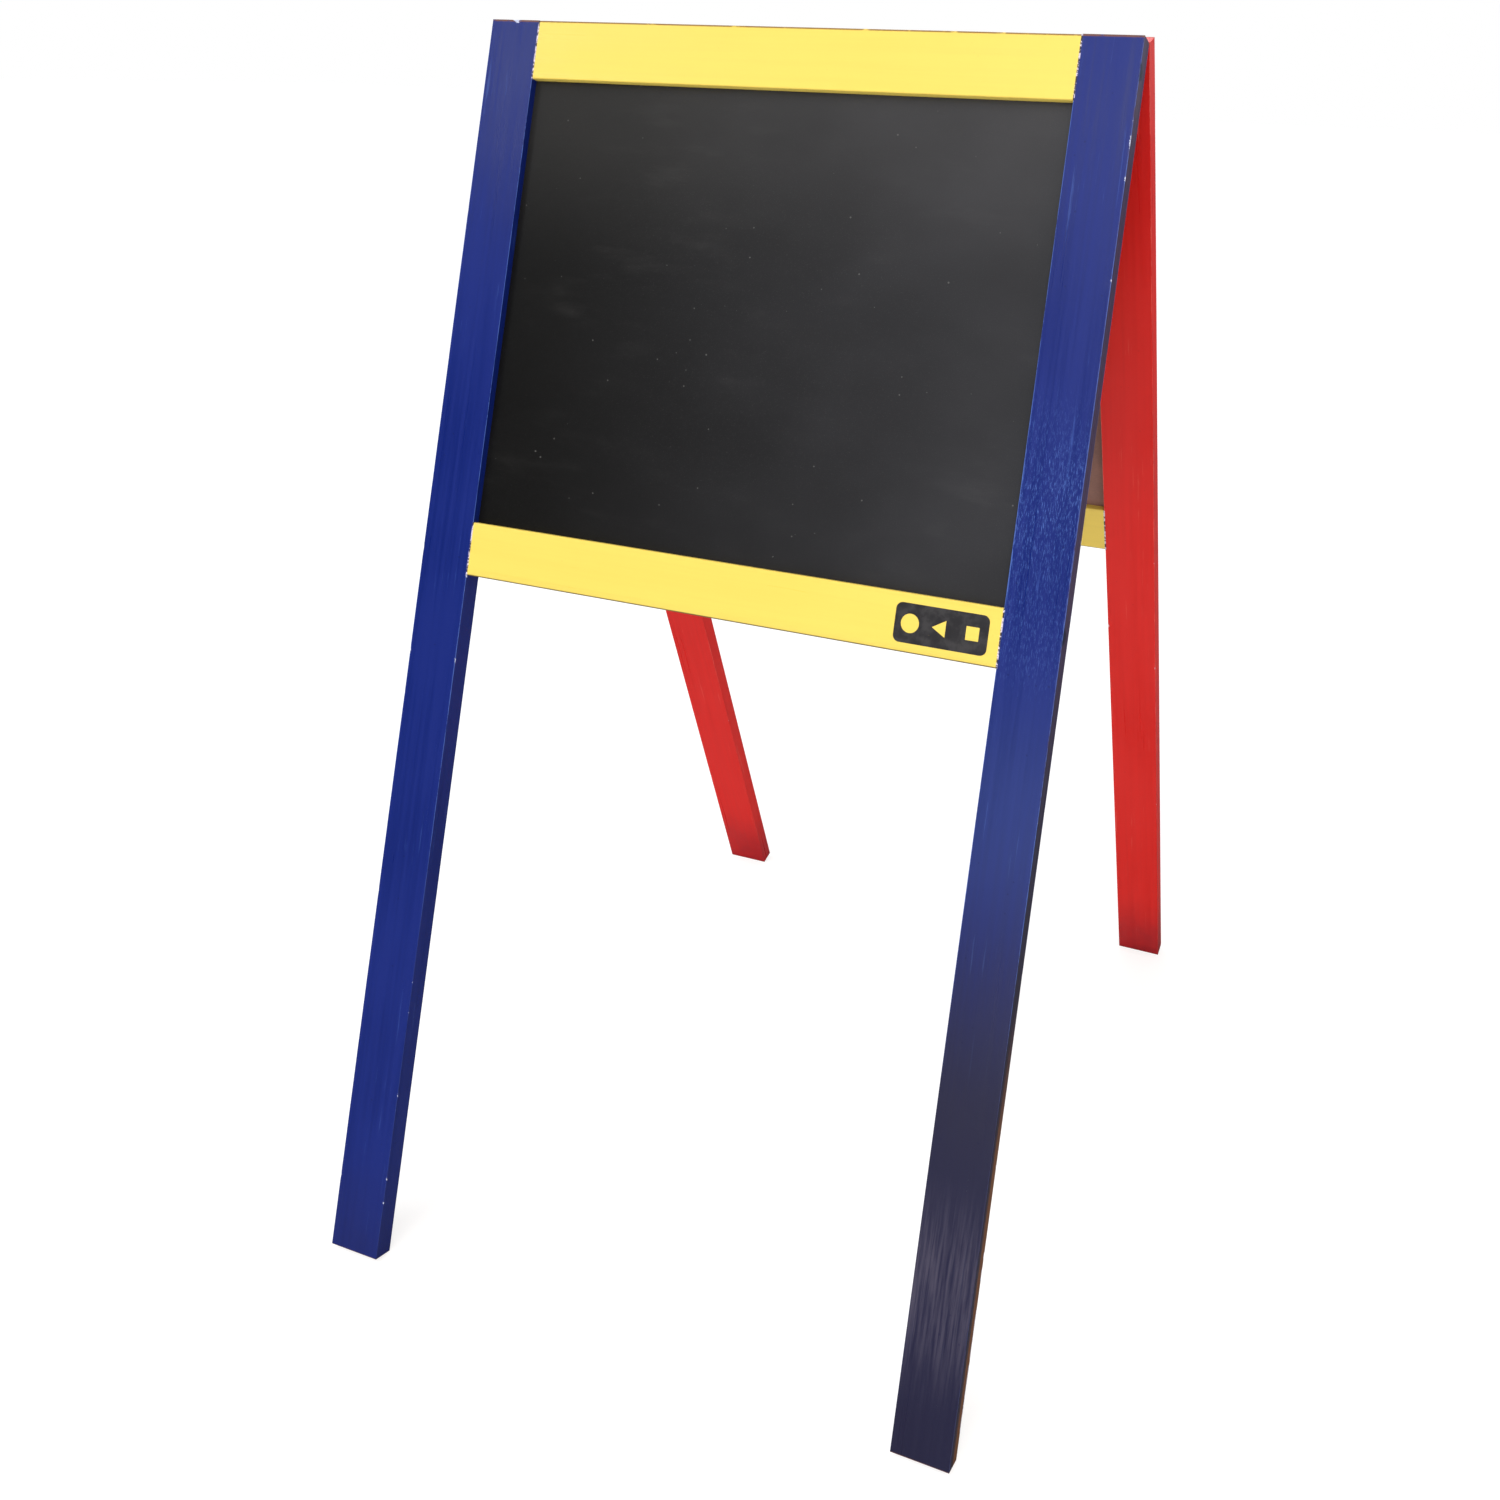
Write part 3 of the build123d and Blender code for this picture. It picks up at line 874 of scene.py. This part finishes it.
def rail_mesh(low, high, board_edge_z, seed):
    """A rail with eased long edges and a groove along the edge that meets the board."""
    timber = bpy.context.scene.easel_timber
    groove = (BOARD_LOW.y, BOARD_HIGH.y)
    groove_depth = (BOARD_HIGH.z - TOP_RAIL_LOW.z) + MM
    faces_down = abs(board_edge_z - low.z) < abs(board_edge_z - high.z)
    mouth_z = low.z if faces_down else high.z
    back_z = high.z if faces_down else low.z
    floor_z = mouth_z + (groove_depth if faces_down else -groove_depth)
    outline = [
        (low.y, mouth_z), (groove[0], mouth_z), (groove[0], floor_z), (groove[1], floor_z),
        (groove[1], mouth_z), (high.y, mouth_z), (high.y, back_z), (low.y, back_z),
    ]
    bm = bmesh.new()
    end = bm.faces.new([bm.verts.new((low.x, y, z)) for y, z in outline])
    grown = bmesh.ops.extrude_face_region(bm, geom=[end], use_keep_orig=True)["geom"]
    moved = [each for each in grown if isinstance(each, bmesh.types.BMVert)]
    bmesh.ops.translate(bm, vec=Vector((high.x - low.x, 0, 0)), verts=moved)
    bmesh.ops.recalc_face_normals(bm, faces=bm.faces)
    corners = [
        edge for edge in bm.edges
        if runs_along(edge, X)
        and min(abs(edge.verts[0].co.y - low.y), abs(edge.verts[0].co.y - high.y)) < 0.01 * MM
    ]
    ease(bm, corners, timber.edge_radius)
    cut_loops(bm, Z, between(min(mouth_z, floor_z), max(mouth_z, floor_z), 1))
    cut_loops(bm, Z, between(min(back_z, floor_z), max(back_z, floor_z), 4))
    cut_loops(bm, X, [low.x + 6 * MM, high.x - 6 * MM])
    divide_length(bm, X, timber.loop_spacing)
    wear_layer(bm)
    wave(bm, timber.waviness * 0.6, 42 * MM, seed)
    return bm


def knock_front_leg(bm, low, high):
    """Knocks on the two blue legs, heavier on the right one's outer edge."""
    outer = high.x if low.x > 0 else low.x
    inner = low.x if low.x > 0 else high.x
    front, back = low.y, high.y
    top = high.z
    if low.x > 0:
        knock_edge(bm, outer, front, (top - 0.42, top - 0.02), 9, 0.5 * MM, 5, 0.7)
        knock_edge(bm, outer, front, (top - 0.75, top - 0.45), 4, 0.5 * MM, 6, 0.65)
        knock_edge(bm, outer, back, (top - 0.99, top - 0.86), 16, 2.2 * MM, 7, 1.6)
        knock_edge(bm, outer, back, (top - 0.85, top - 0.05), 8, 0.7 * MM, 8, 0.7)
        for drop, length in ((0.074, 8.0), (0.101, 4.0)):
            scratch = Vector((outer - 0.5 * MM, front, top - drop))
            knock(bm, scratch, Vector((0.9, 1.3, length)) * MM, 0.15 * MM, 0.8)
    else:
        chip = Vector(((outer + inner) / 2 + 1 * MM, front, top))
        knock(bm, chip, Vector((3.6, 2.4, 1.6)) * MM, 0.3 * MM, 0.8)
        knock_edge(bm, outer, front, (top - 0.99, top - 0.05), 8, 0.7 * MM, 9, 0.7)
        knock_edge(bm, inner, front, (top - 0.56, top - 0.4), 8, 0.7 * MM, 10, 0.7)
        knock_edge(bm, inner, front, (top - 0.98, top - 0.6), 8, 0.7 * MM, 11, 0.65)


def knock_rear_leg(bm, low, high, seed):
    """A few small knocks on a red leg, and a pale painted highlight near the top of its outer side."""
    outer = high.x if low.x > 0 else low.x
    inner = low.x if low.x > 0 else high.x
    top = high.z
    for x, y, count in ((outer, low.y, 6), (inner, high.y, 3), (outer, high.y, 4)):
        knock_edge(bm, x, y, (top - 0.98, top - 0.03), count, 0.8 * MM, seed + count, 0.75)
    # Painted highlight: a pale spot near the top of the outer side, marked as paint gone with no dent.
    knock(bm, Vector((outer, TIMBER_MIDDLE_Y, top - 0.03)), Vector((1.0, 1.6, 2.6)) * MM, 0.0, 0.6)


class EASEL_OT_legs(bpy.types.Operator):
    """Makes the two blue front legs and the two red rear legs"""

    bl_idname = "easel.legs"
    bl_label = "Legs"

    def execute(self, context):
        colours = context.scene.easel_paint
        finishes = {
            "front_frame": (colours.blue, colours.blue_worn, 0.52, 0.12, 0.07 * MM, True),
            "rear_frame": (colours.red, colours.red_worn, 0.42, 0.045, 0.04 * MM, False),
        }
        for seed, (body, paint) in enumerate(PAINTS.items()):
            base, worn, wear, streak, skin, scuffed = finishes[body]

            def extras(graph, place, parts, edges, colour, colours, worn=worn, scuffed=scuffed):
                return leg_wear_and_shade(graph, place, parts, edges, colour, colours, worn, scuffed)

            material = painted_timber(
                f"{paint}_on_legs", body, (LEG_LOW, LEG_HIGH), LEG_GRAIN, base, worn, wear, streak, skin, extras
            )
            side_name = body.split("_")[0]
            for side in ("left", "right"):
                node = f"{side_name}_{side}_stile"
                low, high = upright_box(node)
                bm = leg_mesh(low, high, 1 + seed * 2 + (side == "right"))
                if body == "front_frame":
                    knock_front_leg(bm, low, high)
                else:
                    knock_rear_leg(bm, low, high, 20 + 5 * (side == "right"))
                to_piece(bm, f"{side_name}_{side}_leg", body, [node], [material])
        return {"FINISHED"}


class EASEL_OT_rails(bpy.types.Operator):
    """Makes the four yellow rails"""

    bl_idname = "easel.rails"
    bl_label = "Rails"

    def execute(self, context):
        colours = context.scene.easel_paint
        board_middle = (BOARD_LOW.z + BOARD_HIGH.z) / 2
        for seed, body in enumerate(PAINTS):
            side_name = body.split("_")[0]
            for step, level in enumerate(("top", "bottom")):
                node = f"{side_name}_{level}_rail"
                low, high = upright_box(node)
                material = painted_timber(
                    f"yellow_paint_{side_name}_{level}", body, (low, high), RAIL_GRAIN,
                    colours.yellow, colours.yellow_worn, 0.36, 0.018, 0.03 * MM, underline=level == "bottom",
                )
                bm = rail_mesh(low, high, board_middle, 11 + 4 * seed + step)
                if level == "bottom":
                    dab = Vector((low.x + 3 * MM, low.y, high.z))
                    knock(bm, dab, Vector((4.0, 1.6, 1.5)) * MM, 0.1 * MM, 0.7)
                to_piece(bm, f"{side_name}_{level}_rail_painted", body, [node], [material])
        return {"FINISHED"}


class EASEL_OT_boards(bpy.types.Operator):
    """Makes the chalkboard and the white board, each with a bare hardboard back"""

    bl_idname = "easel.boards"
    bl_label = "Boards"

    def execute(self, context):
        settings = context.scene.easel_board
        faces = {"front_frame": ("chalkboard_panel", "chalkboard"), "rear_frame": ("whiteboard_panel", "whiteboard")}
        for body, (node, finish) in faces.items():
            low, high = upright_box(node)
            bm = box_mesh(low, high)
            cut_loops(bm, X, between(low.x, high.x, 35))
            cut_loops(bm, Z, between(low.z, high.z, 29))
            centre, half = (low + high) / 2, (high - low) / 2
            for vert in bm.verts:
                belly = cos((vert.co.x - centre.x) / half.x * pi / 2) * cos((vert.co.z - centre.z) / half.z * pi / 2)
                ripple = noise.noise(vert.co / (90 * MM))
                vert.co.y += settings.bow * belly * (0.8 + 0.5 * ripple) * (-1 if body == "front_frame" else 1)
            for face in bm.faces:
                face.normal_update()
                face.material_index = 0 if face.normal.y < -0.9 else 1
            materials = [board_material(f"{finish}_face", body, finish)]
            materials.append(board_material(f"{finish}_back", body, "hardboard"))
            piece = to_piece(bm, f"{finish}_sheet", body, [node], materials)
            piece.modifiers["even_normals"].weight = 60
        return {"FINISHED"}


def screw_mesh(centre, radius, depth, face_y, slots, turn):
    """A countersunk wood screw with a crossed slot, its head towards +Y."""
    bm = bmesh.new()
    shank = radius * 0.55
    rings = ((0.0, radius), (0.25 * MM, radius), (1.5 * MM, shank), (depth * 0.75, shank), (depth, 0.2 * MM))
    loops = []
    for drop, ring_radius in rings:
        made = bmesh.ops.create_circle(bm, segments=24, radius=ring_radius)["verts"]
        bmesh.ops.rotate(bm, matrix=Matrix.Rotation(pi / 2, 3, "X"), verts=made)
        bmesh.ops.translate(bm, vec=Vector((0, -drop, 0)), verts=made)
        loops.append(list({edge for vert in made for edge in vert.link_edges}))
    for upper, lower in zip(loops, loops[1:]):
        bmesh.ops.bridge_loops(bm, edges=upper + lower)
    bmesh.ops.contextual_create(bm, geom=loops[-1])
    width, slot_depth = slots
    bmesh.ops.contextual_create(bm, geom=loops[0])
    bmesh.ops.recalc_face_normals(bm, faces=bm.faces)
    cut_loops(bm, X, (-width / 2, width / 2))
    cut_loops(bm, Z, (-width / 2, width / 2))
    arm = radius * 0.62
    cut_loops(bm, X, (-arm, arm))
    cut_loops(bm, Z, (-arm, arm))
    cross = []
    for face in bm.faces:
        middle = face.calc_center_median()
        in_x = abs(middle.x) < width / 2 and abs(middle.z) < arm
        in_z = abs(middle.z) < width / 2 and abs(middle.x) < arm
        if abs(middle.y) < 0.01 * MM and (in_x or in_z):
            cross.append(face)
    sunk = bmesh.ops.extrude_face_region(bm, geom=cross)["geom"]
    moved = [each for each in sunk if isinstance(each, bmesh.types.BMVert)]
    bmesh.ops.translate(bm, vec=Vector((0, -slot_depth, 0)), verts=moved)
    bmesh.ops.rotate(bm, matrix=Matrix.Rotation(turn, 3, "Y"), verts=bm.verts)
    bmesh.ops.translate(bm, vec=Vector((centre.x, face_y, centre.z)), verts=bm.verts)
    return bm


class EASEL_OT_hinges(bpy.types.Operator):
    """Finishes the two hinges, and makes their twelve screws"""

    bl_idname = "easel.hinges"
    bl_label = "Hinges"

    def execute(self, context):
        settings = context.scene.easel_hardware
        dice = random.Random(31)
        for body in PAINTS:
            side_name = body.split("_")[0]
            plate = metal_material(f"{side_name}_hinge_plate", body, settings.plate, (30.0, 700.0, 700.0))
            steel = metal_material(f"{side_name}_screw_steel", body, settings.screw, (600.0, 600.0, 600.0))
            for side in ("left", "right"):
                names = [f"{side}_hinge_{side_name}_leaf"]
                if body == "front_frame":
                    names.append(f"{side}_hinge_pin")
                for name in names:
                    node = frame["nodes"][name]
                    node.data.materials.clear()
                    node.data.materials.append(plate)
                set_name = f"{side}_hinge_{side_name}_screws"
                low, high = upright_box(set_name)
                radius = (high.z - low.z) / 2
                joined = bmesh.new()
                for share in (0.0, 0.5, 1.0):
                    x = low.x + radius + (high.x - low.x - 2 * radius) * share
                    centre = Vector((x, 0, (low.z + high.z) / 2))
                    slots = (settings.slot_width, settings.slot_depth)
                    turn = dice.uniform(0, pi)
                    one = screw_mesh(centre, radius, high.y - low.y, high.y, slots, turn)
                    scratch = bpy.data.meshes.new("one_screw")
                    one.to_mesh(scratch)
                    one.free()
                    joined.from_mesh(scratch)
                    bpy.data.meshes.remove(scratch)
                to_piece(joined, f"{side}_{side_name}_screws_slotted", body, [set_name], [steel])
        return {"FINISHED"}


class EASEL_OT_dowels(bpy.types.Operator):
    """Gives the hidden dowels their bare timber"""

    bl_idname = "easel.dowels"
    bl_label = "Dowels"

    def execute(self, context):
        for body in PAINTS:
            material = dowel_material(f"{body}_beech", body)
            for name, node in frame["nodes"].items():
                if name.endswith("_dowels") and node["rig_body"] == body:
                    node.data.materials.clear()
                    node.data.materials.append(material)
        return {"FINISHED"}


def film_shape(bm, x, z, radius, sides, turn):
    """A flat printed disc, triangle or square that lies on the label."""
    film = bpy.context.scene.easel_marks.film
    made = bmesh.ops.create_circle(bm, cap_ends=True, segments=sides, radius=radius)["verts"]
    bmesh.ops.rotate(bm, matrix=Matrix.Rotation(turn, 3, "Z"), verts=made)
    bmesh.ops.rotate(bm, matrix=Matrix.Rotation(pi / 2, 3, "X"), verts=made)
    face = made[0].link_faces[0]
    grown = bmesh.ops.extrude_face_region(bm, geom=[face], use_keep_orig=True)["geom"]
    moved = [each for each in grown if isinstance(each, bmesh.types.BMVert)]
    bmesh.ops.translate(bm, vec=Vector((0, 1.5 * film, 0)), verts=moved)
    place = Vector((x, LOW_RAIL_LOW.y - 1.6 * film, z))
    bmesh.ops.translate(bm, vec=place, verts=made + moved)


class EASEL_OT_marks(bpy.types.Operator):
    """Makes the plain printed label on the lower front rail"""

    bl_idname = "easel.marks"
    bl_label = "Printed label"

    def execute(self, context):
        settings = context.scene.easel_marks
        film = settings.film
        middle_z = (LOW_RAIL_LOW.z + LOW_RAIL_HIGH.z) / 2
        middle_x = JOINT_X - settings.inset - settings.width / 2
        half = Vector((settings.width, 2 * film, settings.height)) / 2
        centre = Vector((middle_x, LOW_RAIL_LOW.y, middle_z))
        label = box_mesh(centre - half, centre + half)
        corners = [edge for edge in label.edges if runs_along(edge, Y)]
        ease(label, corners, settings.corner_radius, segments=6)
        to_piece(label, "printed_label", "front_frame", [], [ink_material()])
        shapes = bmesh.new()
        spacing = settings.width / 3
        for step, sides in zip((-1, 0, 1), (32, 3, 4)):
            turn = pi / sides if sides == 4 else pi / 2
            film_shape(shapes, middle_x + step * spacing, middle_z, settings.shape_radius, sides, turn)
        bmesh.ops.recalc_face_normals(shapes, faces=shapes.faces)
        yellow = bpy.data.materials["yellow_paint_front_bottom"]
        to_piece(shapes, "printed_shapes", "front_frame", [], [yellow])
        return {"FINISHED"}


def add_light(name, kind, place, aim, power, size, colour):
    """A light at a place, aimed at a point."""
    data = bpy.data.lights.new(name, kind)
    data.energy = power
    data.color = colour
    if kind == "SUN":
        data.angle = size
    else:
        data.size = size
    light = bpy.data.objects.new(name, data)
    light.location = place
    light.rotation_euler = (Vector(aim) - Vector(place)).to_track_quat("-Z", "Y").to_euler()
    light.visible_glossy = kind != "SUN"
    bpy.context.scene.collection.objects.link(light)


def studio_world(ambient):
    """Even white behind everything, and a softer, darker room for what lights and mirrors."""
    world = bpy.data.worlds.new("studio")
    world.use_nodes = True
    bpy.context.scene.world = world
    tree = world.node_tree
    tree.nodes.clear()
    graph = Graph(tree)
    direction = graph.add("ShaderNodeTexCoord").outputs["Generated"]
    height = graph.split(direction)[Z]
    glow = graph.band(height, -0.2, 0.9, 0.55, 1.25)
    sheen = graph.band(height, 0.3, 0.85, 0.12, 0.8)
    behind = graph.band(graph.split(direction)[Y], 0.5, 0.95, 0.0, 0.75)
    sheen = graph.sum("ADD", sheen, behind)
    lit = graph.add("ShaderNodeBackground", {"Color": (1.0, 0.99, 0.97, 1.0), "Strength": graph.times(glow, ambient)})
    mirrored = graph.add(
        "ShaderNodeBackground", {"Color": (0.93, 0.96, 1.0, 1.0), "Strength": graph.times(sheen, ambient)}
    )
    seen = graph.add("ShaderNodeBackground", {"Color": (1.0, 1.0, 1.0, 1.0), "Strength": 1.0})
    rays = graph.add("ShaderNodeLightPath").outputs
    room = graph.add("ShaderNodeMixShader", {0: rays["Is Glossy Ray"], 1: lit.outputs[0], 2: mirrored.outputs[0]})
    shown = graph.add("ShaderNodeMixShader", {0: rays["Is Camera Ray"], 1: room.outputs[0], 2: seen.outputs[0]})
    end = graph.add("ShaderNodeOutputWorld")
    tree.links.new(shown.outputs[0], end.inputs["Surface"])


def floor_material():
    """A pale floor whose shadows stay faint."""
    material = bpy.data.materials.new("pale_floor")
    material.use_nodes = True
    tree = material.node_tree
    tree.nodes.clear()
    graph = Graph(tree)
    place = graph.add("ShaderNodeTexCoord").outputs["Object"]
    tone = graph.tint(graph.cloud(place, 3.0), (0.86, 0.86, 0.86, 1.0), (0.9, 0.9, 0.9, 1.0))
    matte = graph.add("ShaderNodeBsdfDiffuse", {"Color": tone})
    dim = graph.add("ShaderNodeBsdfDiffuse", {"Color": (0.12, 0.12, 0.13, 1.0)})
    bright = graph.add("ShaderNodeEmission", {"Color": (1.0, 1.0, 1.0, 1.0), "Strength": 1.22})
    rays = graph.add("ShaderNodeLightPath").outputs
    bounced = graph.add(
        "ShaderNodeMixShader", {0: rays["Is Glossy Ray"], 1: matte.outputs[0], 2: dim.outputs[0]}
    )
    mixed = graph.add(
        "ShaderNodeMixShader",
        {0: graph.times(rays["Is Camera Ray"], 0.62), 1: bounced.outputs[0], 2: bright.outputs[0]},
    )
    end = graph.add("ShaderNodeOutputMaterial")
    tree.links.new(mixed.outputs[0], end.inputs["Surface"])
    return material


class EASEL_OT_stage(bpy.types.Operator):
    """Makes the floor, the lights and the camera"""

    bl_idname = "easel.stage"
    bl_label = "Stage"

    def execute(self, context):
        settings = context.scene.easel_stage
        scene = context.scene
        scene.view_settings.view_transform = "Standard"
        mesh = bpy.data.meshes.new("floor")
        bm = bmesh.new()
        bmesh.ops.create_grid(bm, x_segments=8, y_segments=8, size=40.0)
        bm.to_mesh(mesh)
        bm.free()
        mesh.materials.append(floor_material())
        floor = bpy.data.objects.new("floor", mesh)
        scene.collection.objects.link(floor)
        studio_world(settings.ambient)
        middle = (CAD_BOX[0] + CAD_BOX[1]) / 2
        add_light("key", "AREA", (0.9, -2.8, 2.6), middle, settings.key, 2.6, (1.0, 0.99, 0.97))
        add_light("top", "SUN", (-0.9, -1.2, 3.0), (0, 0, 0), settings.top, radians(40), (1.0, 1.0, 1.0))
        add_light("warm", "AREA", (1.4, -0.1, 1.5), middle, settings.warm, 0.9, (1.0, 0.72, 0.5))
        add_light("glint", "AREA", (-2.2, -2.0, 2.5), middle, settings.glint, 0.9, (0.95, 0.98, 1.0))
        add_light("low_fill", "AREA", (0.3, -2.0, 0.15), middle, settings.low_fill, 1.2, (1.0, 0.99, 0.97))
        add_light("sheen", "AREA", (-0.55, -2.4, 2.65), middle, settings.sheen, 0.7, (1.0, 1.0, 1.0))
        add_light("back", "AREA", (-0.8, 2.8, 2.2), middle, settings.back, 2.0, (1.0, 0.99, 0.97))
        data = bpy.data.cameras.new("camera")
        data.lens = settings.lens
        data.shift_x, data.shift_y = settings.shift
        camera = bpy.data.objects.new("camera", data)
        camera.location = settings.camera_place
        camera.rotation_euler = Euler(settings.camera_turn)
        scene.collection.objects.link(camera)
        scene.camera = camera
        return {"FINISHED"}


OPERATORS = (
    EASEL_OT_stage,
    EASEL_OT_legs,
    EASEL_OT_rails,
    EASEL_OT_boards,
    EASEL_OT_hinges,
    EASEL_OT_dowels,
    EASEL_OT_marks,
)


class EASEL_PT_sidebar(bpy.types.Panel):
    """Lists the settings and the steps that build the easel"""

    bl_idname = "EASEL_PT_sidebar"
    bl_label = "Easel"
    bl_space_type = "VIEW_3D"
    bl_region_type = "UI"
    bl_category = "Easel"

    def draw(self, context):
        for name, settings in SETTINGS.items():
            box = self.layout.box()
            for field in settings.__annotations__:
                box.prop(getattr(context.scene, name), field)
        for operator in OPERATORS:
            self.layout.operator(operator.bl_idname)


def register():
    """Adds the settings, operators and panel."""
    for name, settings in SETTINGS.items():
        bpy.utils.register_class(settings)
        setattr(bpy.types.Scene, name, bpy.props.PointerProperty(type=settings))
    for cls in (*OPERATORS, EASEL_PT_sidebar):
        bpy.utils.register_class(cls)


def unregister():
    """Removes what register added."""
    for cls in (EASEL_PT_sidebar, *reversed(OPERATORS)):
        bpy.utils.unregister_class(cls)
    for name, settings in SETTINGS.items():
        delattr(bpy.types.Scene, name)
        bpy.utils.unregister_class(settings)


def main():
    """Builds the whole scene."""
    register()
    for operator in OPERATORS:
        group, name = operator.bl_idname.split(".")
        getattr(getattr(bpy.ops, group), name)()
    bpy.context.view_layer.update()


if __name__ == "__main__":
    main()
